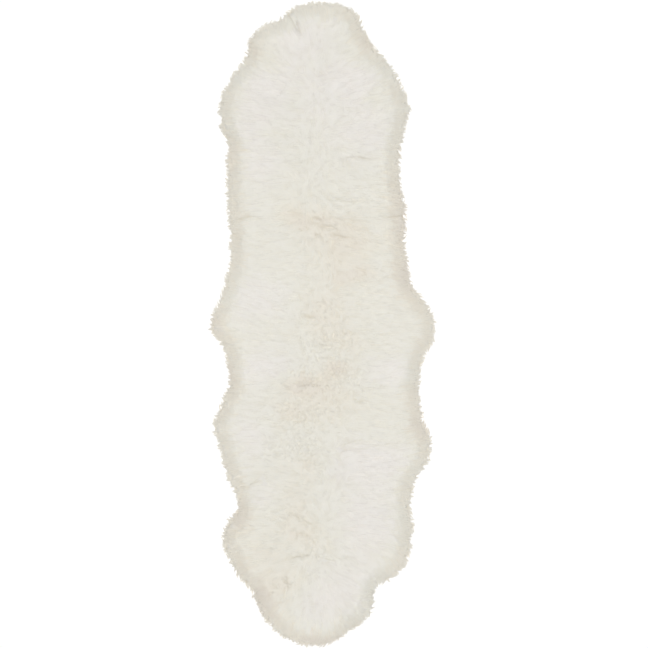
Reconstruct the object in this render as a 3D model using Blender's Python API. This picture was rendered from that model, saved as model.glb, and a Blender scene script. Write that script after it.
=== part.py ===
"""A natural-shape sheepskin rug: two whole pelts sewn butt to butt, lying flat with the wool up.

Each pelt is one closed solid of its hide and its wool. The hide lies flat on the ground, inside the
outline. The wool stands over it in a low dome, rolls down at the edge and reaches past the hide.
+Y runs along the rug from the short pelt to the long one, +Z is up, and the origin is on the ground
below the middle of the rug.
"""
import math
from collections import namedtuple

import bmesh
import bpy
import numpy as np

# Sizes over all, in metres, with the wool.
RUG_LENGTH = 1.800
PILE_HEIGHT = 0.050        # ground to the highest wool
PILE_DIP = 0.008           # how far the wool's lowest hollows lie below that
SEAM_ALONG = -0.171        # where the pelts meet, from the middle of the rug
SEAM_GAP = 0.0003

# The wool's roll at the rug's edge.
ROLL_WIDTH = 0.055         # from the outline to where the top is level
TIP_HEIGHT = 0.011         # height at which the wool reaches out furthest
HIDE_INSET = 0.014         # from the outline in to where the rug touches the ground
TUCK_INSET = 0.005         # a step on the way down from the outline to there
TUCK_HEIGHT = 0.004

# The outline's tufts and its round ends.
TUFT_DEPTH = 0.0013
TUFT_SPACINGS = (0.047, 0.083)
TUFT_STARTS = {"left": 0.7, "right": 2.9}    # where in its wave each edge starts, in radians
END_ROUND = 0.060          # length over which each end closes in

# The loft's grid.
SECTION_STEP = 0.0113
END_SECTIONS = 9           # sections around each round end
ROLL_STEPS = (0.004, 0.012, 0.026, 0.050)    # columns across the roll, from the edge inwards
ROLL_FULL_HALF = 0.110     # a narrower half section squeezes those columns
TOP_COLUMNS = 5            # columns between the two rolls

# The wool's level is the sum of these swells: each one's share of the dip, the distance from crest
# to crest, and the way it runs, in degrees from +X.
Swell = namedtuple("Swell", "share spacing heading")
SWELLS = (
    Swell(0.40, 0.235, 78),
    Swell(0.35, 0.160, -24),
    Swell(0.25, 0.107, 31),
)

CREASE_ANGLE = math.radians(50)    # sharper edges than this aren't shaded smooth
WOOL_COLOUR = (0.79, 0.76, 0.68, 1.0)
WOOL_ROUGHNESS = 0.95

# The outline, a row for each place where it turns: how far along the rug, and how far out the wool
# reaches to the left and to the right of the middle line.
Section = namedtuple("Section", "place along left right")
OUTLINE = (
    Section("long pelt's neck tip", 0.900, -0.112, 0.108),
    Section("neck", 0.856, -0.116, 0.103),
    Section("neck's corner", 0.838, -0.158, 0.105),
    Section("neck's shoulder, left", 0.806, -0.199, 0.122),
    Section("cheek", 0.762, -0.216, 0.152),
    Section("fore slope, high", 0.730, -0.225, 0.180),
    Section("fore slope, low", 0.690, -0.257, 0.205),
    Section("forelegs, high", 0.650, -0.279, 0.226),
    Section("forelegs", 0.596, -0.293, 0.240),
    Section("forelegs, low", 0.556, -0.290, 0.232),
    Section("behind the forelegs", 0.515, -0.272, 0.221),
    Section("flank, high", 0.455, -0.270, 0.213),
    Section("flank", 0.380, -0.271, 0.217),
    Section("flank, right swell", 0.315, -0.267, 0.230),
    Section("waist", 0.225, -0.261, 0.227),
    Section("waist, low", 0.166, -0.264, 0.236),
    Section("haunch slope, high", 0.121, -0.274, 0.243),
    Section("haunch slope, low", 0.068, -0.291, 0.280),
    Section("haunch", 0.020, -0.312, 0.306),
    Section("haunch's point", -0.010, -0.320, 0.316),
    Section("under the haunch, high", -0.050, -0.289, 0.304),
    Section("under the haunch, low", -0.088, -0.274, 0.284),
    Section("seam's notch, high", -0.130, -0.267, 0.269),
    Section("seam's notch", -0.171, -0.266, 0.268),
    Section("short pelt's rump", -0.210, -0.281, 0.268),
    Section("haunch of the short pelt, high", -0.252, -0.301, 0.276),
    Section("haunch of the short pelt", -0.292, -0.309, 0.289),
    Section("haunch of the short pelt, low", -0.335, -0.295, 0.302),
    Section("flank of the short pelt, high", -0.380, -0.282, 0.292),
    Section("flank of the short pelt", -0.422, -0.272, 0.267),
    Section("flank of the short pelt, low", -0.463, -0.253, 0.247),
    Section("short pelt's waist", -0.517, -0.241, 0.244),
    Section("paw's top", -0.536, -0.251, 0.244),
    Section("paw", -0.552, -0.272, 0.249),
    Section("forelegs of the short pelt", -0.606, -0.283, 0.247),
    Section("forelegs of the short pelt, low", -0.645, -0.270, 0.239),
    Section("fore slope of the short pelt", -0.690, -0.247, 0.214),
    Section("right step, top", -0.714, -0.230, 0.182),
    Section("right step, foot", -0.738, -0.208, 0.146),
    Section("cheek of the short pelt", -0.785, -0.185, 0.140),
    Section("neck of the short pelt", -0.828, -0.162, 0.112),
    Section("neck's end of the short pelt", -0.862, -0.133, 0.074),
    Section("short pelt's neck tip", -0.900, -0.120, 0.060),
)


def smooth_through(rows_along, rows_value, along):
    """A smooth curve through the rows, which doesn't swing past them between two rows."""
    steps = np.diff(rows_along)
    slopes = np.diff(rows_value) / steps
    bends = np.zeros(len(rows_along))
    same_way = slopes[:-1] * slopes[1:] > 0
    low_share = 2 * steps[1:] + steps[:-1]
    high_share = steps[1:] + 2 * steps[:-1]
    with np.errstate(divide="ignore", invalid="ignore"):
        mean = (low_share + high_share) / (low_share / slopes[:-1] + high_share / slopes[1:])
    bends[1:-1] = np.where(same_way, mean, 0.0)
    bends[0] = slopes[0]
    bends[-1] = slopes[-1]
    span = np.clip(np.searchsorted(rows_along, along) - 1, 0, len(steps) - 1)
    width = steps[span]
    t = (along - rows_along[span]) / width
    return ((1 + 2 * t) * (1 - t) ** 2 * rows_value[span]
            + t * (1 - t) ** 2 * width * bends[span]
            + t * t * (3 - 2 * t) * rows_value[span + 1]
            + t * t * (t - 1) * width * bends[span + 1])


def tuft_ripple(along, start):
    """The small ins and outs of the tufts along one edge."""
    return TUFT_DEPTH * sum(np.sin(math.tau * along / spacing + start * (1 + index))
                            for index, spacing in enumerate(TUFT_SPACINGS))


def edges_at(along):
    """How far the wool reaches to the left and to the right at each place along the rug."""
    rows = OUTLINE[::-1]
    rows_along = np.array([row.along for row in rows])
    left = smooth_through(rows_along, np.array([row.left for row in rows]), along)
    right = smooth_through(rows_along, np.array([row.right for row in rows]), along)
    left = left + tuft_ripple(along, TUFT_STARTS["left"])
    right = right + tuft_ripple(along, TUFT_STARTS["right"])
    from_end = np.clip((RUG_LENGTH / 2 - np.abs(along)) / END_ROUND, 0.0, 1.0)
    fullness = np.sqrt(1 - (1 - from_end) ** 2)
    middle = (left + right) / 2
    return middle + (left - middle) * fullness, middle + (right - middle) * fullness


def places_along():
    """The places of the sections of each pelt, from its seam to its neck tip."""
    pelts = []
    for seam, end in ((SEAM_ALONG + SEAM_GAP / 2, 1), (SEAM_ALONG - SEAM_GAP / 2, -1)):
        straight_end = end * (RUG_LENGTH / 2 - END_ROUND)
        count = round(abs(straight_end - seam) / SECTION_STEP)
        straight = np.linspace(seam, straight_end, count + 1)
        turn = np.linspace(math.pi / 2, 0, END_SECTIONS + 1)[1:-1]
        rounded = end * (RUG_LENGTH / 2 - END_ROUND * (1 - np.cos(turn)))
        pelts.append(np.concatenate((straight, rounded)))
    return pelts


def outward_normals(points):
    """The outline's outward directions at its points, smoothed over their neighbours."""
    ahead = np.roll(points, -1, axis=0) - np.roll(points, 1, axis=0)
    normals = np.stack((ahead[:, 1], -ahead[:, 0]), axis=1)
    for _ in range(3):
        normals = (np.roll(normals, 1, axis=0) + 2 * normals + np.roll(normals, -1, axis=0)) / 4
    return normals / np.linalg.norm(normals, axis=1, keepdims=True)


def distance_inside(points, outline):
    """How far each point lies from the closed outline."""
    run = np.roll(outline, -1, axis=0) - outline
    offset = points[:, None] - outline
    share = np.clip((offset * run).sum(axis=2) / (run ** 2).sum(axis=1), 0, 1)
    nearest = outline + share[..., None] * run
    return np.linalg.norm(points[:, None] - nearest, axis=2).min(axis=1)


def wool_height(points, outline):
    """The height of the wool's top: a quarter-round roll at the edge, then a gently uneven level."""
    inside = np.clip(distance_inside(points, outline) / ROLL_WIDTH, 0, 1)
    rise = np.sqrt(1 - (1 - inside) ** 2)
    level = np.full(len(points), PILE_HEIGHT - PILE_DIP / 2)
    for swell in SWELLS:
        heading = math.radians(swell.heading)
        run = points @ np.array((math.cos(heading), math.sin(heading)))
        level += swell.share * PILE_DIP / 2 * np.sin(math.tau * run / swell.spacing)
    return TIP_HEIGHT + (level - TIP_HEIGHT) * rise


def columns_across(left, right):
    """Where the top's columns stand in one section, from its left edge to its right one."""
    half = (right - left) / 2
    squeeze = min(1.0, half / ROLL_FULL_HALF)
    roll = [step * squeeze for step in ROLL_STEPS]
    inner_left = left + roll[-1]
    inner_right = right - roll[-1]
    level = np.linspace(inner_left, inner_right, TOP_COLUMNS + 2)[1:-1]
    return [left + step for step in roll] + list(level) + [right - step for step in reversed(roll)]


def section_loops(along, outline, edge_points, edge_normals):
    """The closed loop of points of every section of a pelt, from its seam on. edge_points and
    edge_normals hold the left and the right edge of each section. The seam's section is flat, so its
    edges tuck in straight across the rug."""
    loops = []
    for place, (left, right), (left_out, right_out) in zip(along, edge_points, edge_normals):
        if place == along[0]:
            left_out = np.array((-1.0, 0.0))
            right_out = np.array((1.0, 0.0))
        tops = np.array([(across, place) for across in columns_across(left[0], right[0])])
        heights = wool_height(tops, outline)
        loop = [(*(left - left_out * HIDE_INSET), 0.0),
                (*(left - left_out * TUCK_INSET), TUCK_HEIGHT),
                (*left, TIP_HEIGHT)]
        loop += [(x, y, z) for (x, y), z in zip(tops, heights)]
        loop += [(*right, TIP_HEIGHT),
                 (*(right - right_out * TUCK_INSET), TUCK_HEIGHT),
                 (*(right - right_out * HIDE_INSET), 0.0)]
        loops.append(loop)
    return loops


def lofted_mesh(name, loops):
    """One closed mesh through the loops, with its first and last loop filled."""
    bm = bmesh.new()
    ring = [bm.verts.new(point) for point in loops[0]]
    edges = [bm.edges.new((ring[i], ring[(i + 1) % len(ring)])) for i in range(len(ring))]
    bmesh.ops.contextual_create(bm, geom=edges)
    for loop in loops[1:]:
        made = bmesh.ops.extrude_edge_only(bm, edges=edges)["geom"]
        new_verts = {vert for vert in made if isinstance(vert, bmesh.types.BMVert)}
        ring = [next(edge.other_vert(vert) for edge in vert.link_edges
                     if edge.other_vert(vert) in new_verts) for vert in ring]
        for vert, point in zip(ring, loop):
            vert.co = point
        edges = [bm.edges.get((ring[i], ring[(i + 1) % len(ring)])) for i in range(len(ring))]
    bmesh.ops.contextual_create(bm, geom=edges)
    bmesh.ops.recalc_face_normals(bm, faces=bm.faces)
    bmesh.ops.triangulate(bm, faces=bm.faces)
    mesh = bpy.data.meshes.new(name)
    bm.to_mesh(mesh)
    bm.free()
    mesh.shade_smooth()
    mesh.set_sharp_from_angle(angle=CREASE_ANGLE)
    return mesh


def wool_material():
    material = bpy.data.materials.new("wool")
    material.use_nodes = True
    shader = material.node_tree.nodes["Principled BSDF"]
    shader.inputs["Base Color"].default_value = WOOL_COLOUR
    shader.inputs["Roughness"].default_value = WOOL_ROUGHNESS
    shader.inputs["Metallic"].default_value = 0.0
    return material


def build():
    for thing in list(bpy.data.objects):
        bpy.data.objects.remove(thing, do_unlink=True)

    pelts = places_along()
    whole = np.concatenate((pelts[0][::-1], pelts[1]))
    left, right = edges_at(whole)
    middle = (left.min() + right.max()) / 2
    left -= middle
    right -= middle
    right_edge = np.stack((right, whole), axis=1)
    left_edge = np.stack((left, whole), axis=1)
    long_tip = ((left[0] + right[0]) / 2, RUG_LENGTH / 2)
    short_tip = ((left[-1] + right[-1]) / 2, -RUG_LENGTH / 2)

    # Counter-clockwise seen from above: down the left edge, around the short pelt's tip, up the right.
    outline = np.concatenate((left_edge, [short_tip], right_edge[::-1], [long_tip]))
    normals = outward_normals(outline)
    left_normals = normals[:len(whole)]
    right_normals = normals[len(whole) + 1:-1][::-1]
    edge_points = np.stack((left_edge, right_edge), axis=1)
    edge_normals = np.stack((left_normals, right_normals), axis=1)

    material = wool_material()
    long_count = len(pelts[0])
    spans = (("long_pelt", pelts[0], slice(long_count - 1, None, -1)),
             ("short_pelt", pelts[1], slice(long_count, None)))
    for name, along, rows in spans:
        loops = section_loops(along, outline, edge_points[rows], edge_normals[rows])
        mesh = lofted_mesh(name, loops)
        mesh.materials.append(material)
        bpy.context.scene.collection.objects.link(bpy.data.objects.new(name, mesh))


build()
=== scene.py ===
"""Looks of the sheepskin rug: two hides with their undercoat and long wool, on a white floor."""
import math
from collections import namedtuple

import bmesh
import bpy
import numpy as np
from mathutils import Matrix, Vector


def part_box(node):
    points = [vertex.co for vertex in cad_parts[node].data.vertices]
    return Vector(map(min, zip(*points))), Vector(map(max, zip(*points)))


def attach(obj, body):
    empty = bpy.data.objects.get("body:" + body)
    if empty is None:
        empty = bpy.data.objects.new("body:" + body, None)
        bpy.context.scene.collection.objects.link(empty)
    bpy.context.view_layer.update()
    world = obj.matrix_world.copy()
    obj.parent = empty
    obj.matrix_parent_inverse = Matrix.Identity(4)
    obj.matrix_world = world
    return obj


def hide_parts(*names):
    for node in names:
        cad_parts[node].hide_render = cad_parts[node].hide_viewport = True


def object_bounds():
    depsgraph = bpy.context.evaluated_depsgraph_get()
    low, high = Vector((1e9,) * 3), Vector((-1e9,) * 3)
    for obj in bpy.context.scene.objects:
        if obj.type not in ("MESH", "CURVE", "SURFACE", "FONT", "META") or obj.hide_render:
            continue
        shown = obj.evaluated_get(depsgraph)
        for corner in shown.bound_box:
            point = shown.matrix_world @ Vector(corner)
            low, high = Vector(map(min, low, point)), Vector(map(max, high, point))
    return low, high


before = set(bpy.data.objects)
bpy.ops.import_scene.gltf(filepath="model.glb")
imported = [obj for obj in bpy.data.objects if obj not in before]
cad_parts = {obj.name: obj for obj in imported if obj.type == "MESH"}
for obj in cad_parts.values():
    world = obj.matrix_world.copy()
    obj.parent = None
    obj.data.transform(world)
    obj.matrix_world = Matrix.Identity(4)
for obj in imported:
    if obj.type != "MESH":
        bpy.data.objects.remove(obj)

CAD_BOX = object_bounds()
PELTS = ("long_pelt", "short_pelt")

# ---------------------------------------------------------------- the pile and the hides, in metres
PILE_TOP = CAD_BOX[1][2]
LEVEL_DROP = 0.0045          # how far the wool's middle level lies below its highest place
SWELL_HEIGHT = 0.0022        # of the wide swells of that level
RIPPLE_HEIGHT = 0.0016       # of its narrow ripples
RIPPLE_STRETCH = (0.55, 1)   # draws the ripples out across the rug
TIP_HEIGHT = 0.011           # where the wool reaches out furthest
ROLL_WIDTH = 0.055           # the wool's roll at the rug's edge
HIDE_THICKNESS = 0.0025
LAYER_GAP = 0.0003
HIDE_EDGE = 0.009            # wool grows no nearer to the outline than this
SEAM_ALONG = (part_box("long_pelt")[0].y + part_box("short_pelt")[1].y) / 2
UNDERCOAT_DEPTH = 0.0040     # below the wool's top
CURL_DEPTH = 0.0007          # and this much more under standing curls
UNDERCOAT_INSET = 0.010      # from the CAD pelt's sides
PARTED = 0.0025              # no strand grows or lies where the wool is parted deeper than this
PARTING_SHADE_DEPTH = 0.0035          # a parting this deep is painted as dark as the strands' roots, as painted shade
PARTING_BOW = 0.010          # how far a parting may bow aside

# ---------------------------------------------------------------- the lie of the wool
GRID_STEP = 0.006            # of the fields that say how the wool lies
GRID_MARGIN = 0.045
GRID_BATCHES = 40            # the grid is measured in so many parts, to save memory
PULL_SOFTNESS = 0.02         # the outline pulls no harder from nearer than about this
SURE_PULL = 0.7              # where the pull is as one-sided as this, the comb is sure of its way
SHORT_NECK = (-0.74, -0.54)  # along the rug, where the wool begins to lie across
LONG_NECK = (0.66, 0.84)     # and where it leaves off
ACROSS_LIE = 0.88            # how far it lies straight across between them
SPINE_LIE = 0.55             # how strongly the wool on the spine lies along it, towards the seam
SPINE_END = (0.36, 0.48)     # where that leaves off
SEAM_TURN = (-0.06, 0.06)    # about the seam, where it turns round
EDGE_COMB = (0.015, 0.060)   # inside the outline, from combed straight out to combed freely
COMB_SPREAD = (8.0, 30.0)    # how fast the comb's ways part, per metre, from not loose to wholly loose
LOOSE_INSIDE = 0.05          # which counts only further inside the outline than this
DRIFT = 0.28                 # the wool's wide turnings from its comb, in radians
RUFFLE = (0.06, 0.8)         # its narrow ones where it is combed, and how much more where it is loose
WAVER = 0.014                # how far aside a place may take its comb from
STRAY = 0.010                # and how much further each staple strays
STANDING_LOOSE = (0.16, 0.15)   # how upright loose wool stands without a curl, and how unevenly

# ---------------------------------------------------------------- staples and strands, in metres
SEED = 11
STAPLE_SPACING = 0.0134      # a staple is a bunch of strands that grow and end together
LOOSENING = 0.38             # how far a staple may grow from its place in the grid, in spacings
LOCK_SPACING = 0.0152        # of the small locks that curl among the staples along the spine
STRANDS_PER_STAPLE = 8
GOLDEN_ANGLE = 2.399963      # from each strand of a staple to the next, round the staple's middle
FLATNESS = 0.35              # a staple's height for its width
STRAND_LENGTH = 0.044
LONGER_INSIDE = 0.30         # how much longer the lying strands are away from the edge
LENGTH_SPREAD = (0.85, 1.1)
END_SPREAD = (0.86, 1.05)    # where a staple's own strands end, in its lengths
DRAWN_BACK = 0.0026          # how far inside the outline the staples end
END_UNEVEN = 0.0016
NOTCH_DEPTH = 0.011          # of the small notches along the outline
NOTCH_RARITY = 0.25
FRINGE_UNEVEN = 0.0014
FRINGE_FURTHEST = 0.011      # past the outline
FRINGE_ROOT = 0.006          # a fringe tuft grows no nearer to the outline than this
LOCK_STANDING = 0.3          # locks grow only where the wool stands more upright than this
BALD_STEP = 0.009            # of the grid on which bald spots are looked for
BALD_SHARE = 0.35            # a spot with less than this share of the usual strands is bald
BALD_DEPTH = 0.0045          # strands deeper than this don't cover the undercoat
BALD_INSIDE = 0.030          # and no spot nearer to the outline than this is called bald
HIGHEST = 0.0010             # how far above the wool a staple may rise, and twice that in a curl
LOWEST = 0.0022              # above the ground, for a staple's middle
LOWEST_STRAND = 0.0018
GUIDE_STEPS = 14
HANG = (0.35, 0.85)          # how heavily a staple hangs down over the edge
TO_EDGE = (1.4, 0.012)       # a staple is at most this many times as long as its way to the edge, plus this
SWIRL_STAND = 0.3            # how upright a swirling staple stands at least
SPIN = (0.09, 1.5, 0.8)      # how far a staple turns from its comb, more if it swirls, more if it stands
CROSSING = (0.5, 1.7)        # where the wool is loose, this share of the staples turn this far across
HEIGHT_SPREAD = 0.010        # how far some staples lie above others, as a share of the roll
CURL_RISE = 0.02             # and how far a standing one lies above them
ROOT_LIE = 0.80              # how far out in the wool's roll a staple lies at its root
TIP_LIE = 0.20               # how much further out it lies towards its tip
TIP_LIFT = 0.03              # and how much its tip lifts out of the wool
PUSH = 6                     # how strongly a staple is drawn there
PUSH_LIMITS = (-0.4, 1.2)
PUSH_FADE = 0.5              # and how much less at its tip
STAND = 1.6                  # how strongly a standing one rises
STAND_SHARE = 0.75           # and how much less it lies
EDGE_SLACK = 0.35            # how far the tips at the edge may leave the roll's surface
KEPT_WAY, NEW_WAY = 0.55, 0.45                  # shares of a staple's old and new way at each step
SHORTEST = 0.3               # the least of a staple that is left at the outline
SHORTEST_PARTED = 0.25       # and at a parting
TURNED_BACK = 0.2            # a staple ends where its way agrees less than this with its early way
GATHERING = 0.15             # how much more standing staples gather, and how unevenly any does
MOST_GATHERED = 0.92
WAVE_HEIGHT = (0.0004, 0.0024)                  # of a strand's waves, lying, and how much more standing
WAVE_TURN = 7.5              # the turn of a strand's wave from root to tip, in radians
RING_SHARES = (0.0, 0.42, 0.76)                 # places of a strand's rings, from root to tip
RING_WIDTHS = (0.8, 1.0, 0.7)                   # its width there, and it ends in a point
STRAND_HALF_WIDTH = 0.0010
STRAND_RIDGE = 0.0008
STRAND_SPREAD = (0.75, 1.25)                    # of a strand's thickness
STRAND_TWIST = 0.6
RIDGE_UP, RIDGE_DOWN = 0.6, 0.4                 # shares of the ridge above and below a ring's middle

# How a kind of staple grows: how far its strands stand from its middle at the root, how far they gather
# towards the tip, how deep below the wool's top it is rooted, how much it swirls, and its length as a share
# of a common staple's.
Growth = namedtuple("Growth", "reach gathered depth swirl scale")
STAPLE = Growth(0.0078, 0.22, 0.010, 0.0, 1.0)
CROWN = Growth(0.0078, 0.20, 0.005, 1.0, 1.0)   # a swirling staple that covers a bald spot
LOCK = Growth(0.0045, 0.50, 0.005, 1.0, 0.6)
TUFT = Growth(0.0042, 0.85, 0.010, 0.0, 1.0)    # a small one that sticks out over the edge

# A row of the fringe: its tufts' spacing, how far inside the outline they are rooted, and how far past it
# they end.
FringeRow = namedtuple("FringeRow", "spacing nearest furthest past")
FRINGE = (FringeRow(0.0080, 0.009, 0.018, 0.0029), FringeRow(0.0150, 0.012, 0.026, 0.0044))

# Which part of the rug each piece of wool covers, along it.
Band = namedtuple("Band", "pelt name low high")
WOOL_BANDS = (
    Band("long_pelt", "neck_wool", 0.520, math.inf),
    Band("long_pelt", "back_wool", 0.150, 0.520),
    Band("long_pelt", "rump_wool", SEAM_ALONG, 0.150),
    Band("short_pelt", "rump_wool", -0.480, SEAM_ALONG),
    Band("short_pelt", "neck_wool", -math.inf, -0.480),
)
FRINGE_BANDS = (
    Band("long_pelt", "fringe", SEAM_ALONG, math.inf),
    Band("short_pelt", "fringe", -math.inf, SEAM_ALONG),
)

# ---------------------------------------------------------------- shading and tints
NORMAL_BLEND = 0.82          # how far a strand is shaded as part of the whole fleece
QUIET_SWING = 0.15           # how much further in quiet places, and how much less in others
MOST_BLENDED = 0.95
GRAZING = 0.08               # a normal that agrees less than this with its face counts as against it
CURL_SHADE = 0.19            # how far a curl is shaded by its own slant
EDGE_SLANT = 0.72            # how steeply the edge band is shaded
EDGE_SLANT_FADE = (0.020, 0.060)                # inside the outline
SEEN_SHARE = 0.65            # the part of a strand that shows most, which its tint is taken from
MIDDLE_TINT = 0.42           # tints go from 0, cool white, to 1, ochre
COOL_SHARE = 1.2
EDGE_TINT_AND_SHADE = 0.28             # how much warmer and darker the wool is tinted along the edge: partly its own warmer tone, partly painted shade of its roll there
EDGE_TINT_AND_SHADE_FADE = (0.034, 0.052)                 # inside the outline
PARTING_SHADE_TINT = 12            # painted shade in a parting: how much warmer and darker the wool is tinted there, for each metre of its depth
TINT_CLOUDS = 0.04
STAPLE_TINT, STRAND_TINT = 0.03, 0.07           # how tints are spread over the staples and their strands
MAP_START, MAP_SPAN = 0.03, 0.94                # of the strands' maps, from root to tip
MAP_TINT_START, MAP_TINT_SPAN = 0.02, 0.96      # of the same maps, from cool to ochre
MAP_STRAND_WIDTH = 0.006
MAP_BASE_STEP = 0.02         # keeps a strand's base from being a line on its map
PARTING_SHADE_DARKEST = 0.95          # how far down the map, to the roots' dark, a parting takes its strands: painted shade

# Each of the noises that make the rug uneven: the width of its cells and its seed.
NOISES = {
    "swells": (0.075, 1), "ripples": (0.024, 2), "parting bows": (0.05, 25),
    "drift": (0.110, 3), "ruffle": (0.040, 4), "waver across": (0.055, 27), "waver along": (0.055, 28),
    "standing": (0.05, 5), "gathering": (0.05, 6), "fringe": (0.06, 9), "notches": (0.024, 10),
    "wide rims across": (0.045, 21), "fine rims across": (0.016, 22),
    "wide rims along": (0.045, 23), "fine rims along": (0.016, 24),
    "wide tints": (0.10, 7), "fine tints": (0.03, 8), "quiet places": (0.060, 26),
}
NOISE_CELLS = 64             # before a noise repeats
NOISE_START = 1000.0         # keeps its cells' numbers above 0
WIDE_RIM, FINE_RIM = 0.014, 0.006               # how uneven the rims of curls and tints are

# ---------------------------------------------------------------- the stage
PHOTO_WIDTH = 648            # pixels
PIXEL_SIZE = 0.0027821       # what one of them covers on the rug, in metres
CAMERA_ACROSS = 0.0031
OUTLINE_HEIGHT = 0.02        # about where the wool's outline is seen
CAMERA_DISTANCE = 9.0        # above that
SENSOR_WIDTH = 36.0          # millimetres
STUDIO_LIGHT = 0.28
SOFTBOX_LIGHT = 1.85
SOFTBOX_ANGLE = 10           # degrees
SOFTBOX_HEIGHT = 3.2
FLOOR_RADIUS = 20.0

# ---------------------------------------------------------------- places in the photo
Place = namedtuple("Place", "across along wide long amount")
Parting = namedtuple("Parting", "start end width depth")

# Where the wool stands in curls, mostly along the spine.
CURLS = (
    Place(0.006, 0.266, 0.080, 0.045, 0.5), Place(0.085, 0.132, 0.060, 0.022, 0.8),
    Place(-0.010, 0.050, 0.080, 0.030, 0.6), Place(0.020, -0.046, 0.085, 0.050, 1.0),
    Place(-0.016, -0.152, 0.080, 0.045, 1.0), Place(0.062, -0.157, 0.040, 0.060, 0.7),
    Place(-0.063, -0.241, 0.095, 0.032, 0.9), Place(-0.105, -0.352, 0.060, 0.045, 0.9),
    Place(-0.050, -0.310, 0.045, 0.050, 0.8), Place(-0.013, -0.394, 0.035, 0.040, 0.8),
    Place(-0.063, -0.533, 0.045, 0.080, 0.7), Place(-0.010, -0.640, 0.080, 0.015, 0.6),
    Place(-0.105, -0.722, 0.035, 0.035, 0.8), Place(-0.075, 0.520, 0.060, 0.100, 0.3),
)

# Creamy to rusty places, first inside and then along the edge, and cool white ones.
WARM = (
    Place(-0.077, 0.305, 0.040, 0.028, 0.45), Place(0.000, 0.285, 0.065, 0.030, 0.35),
    Place(0.066, 0.218, 0.088, 0.068, 0.41), Place(0.085, 0.132, 0.060, 0.024, 0.42),
    Place(0.000, 0.040, 0.075, 0.070, 0.33), Place(0.060, -0.050, 0.070, 0.035, 0.24),
    Place(0.034, -0.129, 0.035, 0.028, 0.60), Place(-0.052, -0.172, 0.060, 0.034, 0.62),
    Place(-0.085, -0.255, 0.060, 0.035, 0.34), Place(0.040, -0.220, 0.080, 0.045, 0.30),
    Place(-0.030, -0.390, 0.035, 0.050, 0.25), Place(-0.072, -0.510, 0.040, 0.060, 0.28),
    Place(-0.050, -0.590, 0.060, 0.040, 0.22), Place(0.015, -0.635, 0.050, 0.020, 0.22),
    Place(-0.170, -0.640, 0.050, 0.050, 0.15), Place(-0.105, -0.715, 0.045, 0.045, 0.28),
    Place(-0.150, 0.725, 0.040, 0.030, 0.22), Place(-0.077, 0.622, 0.030, 0.040, 0.22),
    Place(-0.127, 0.538, 0.040, 0.020, 0.25), Place(0.159, 0.622, 0.035, 0.040, 0.30),
    Place(-0.160, -0.770, 0.045, 0.060, 0.40), Place(-0.008, -0.885, 0.070, 0.022, 0.50),
    Place(-0.230, -0.533, 0.030, 0.050, 0.25), Place(-0.255, -0.143, 0.020, 0.035, 0.45),
    Place(-0.308, -0.004, 0.022, 0.035, 0.25), Place(0.228, 0.121, 0.028, 0.080, 0.30),
    Place(0.220, 0.302, 0.024, 0.080, 0.35), Place(0.118, 0.775, 0.060, 0.050, 0.30),
    Place(0.275, -0.282, 0.035, 0.045, 0.28), Place(-0.258, 0.483, 0.024, 0.060, 0.25),
    Place(-0.190, 0.761, 0.045, 0.030, 0.25),
)
COOL = (
    Place(-0.020, 0.670, 0.300, 0.210, 0.20), Place(-0.063, 0.789, 0.060, 0.050, 0.15),
    Place(-0.160, 0.655, 0.070, 0.070, 0.20), Place(0.076, 0.680, 0.080, 0.060, 0.20),
    Place(-0.200, 0.552, 0.045, 0.060, 0.20), Place(0.135, 0.530, 0.070, 0.060, 0.22),
    Place(-0.180, 0.440, 0.050, 0.060, 0.25), Place(-0.188, 0.065, 0.100, 0.060, 0.32),
    Place(-0.155, -0.120, 0.080, 0.050, 0.32), Place(0.187, -0.129, 0.065, 0.045, 0.32),
    Place(-0.210, -0.315, 0.045, 0.080, 0.25), Place(0.150, -0.380, 0.110, 0.050, 0.40),
    Place(-0.174, -0.475, 0.045, 0.030, 0.20), Place(0.135, -0.530, 0.085, 0.110, 0.38),
    Place(0.076, -0.741, 0.100, 0.080, 0.32), Place(-0.013, -0.783, 0.045, 0.045, 0.22),
)

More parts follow.
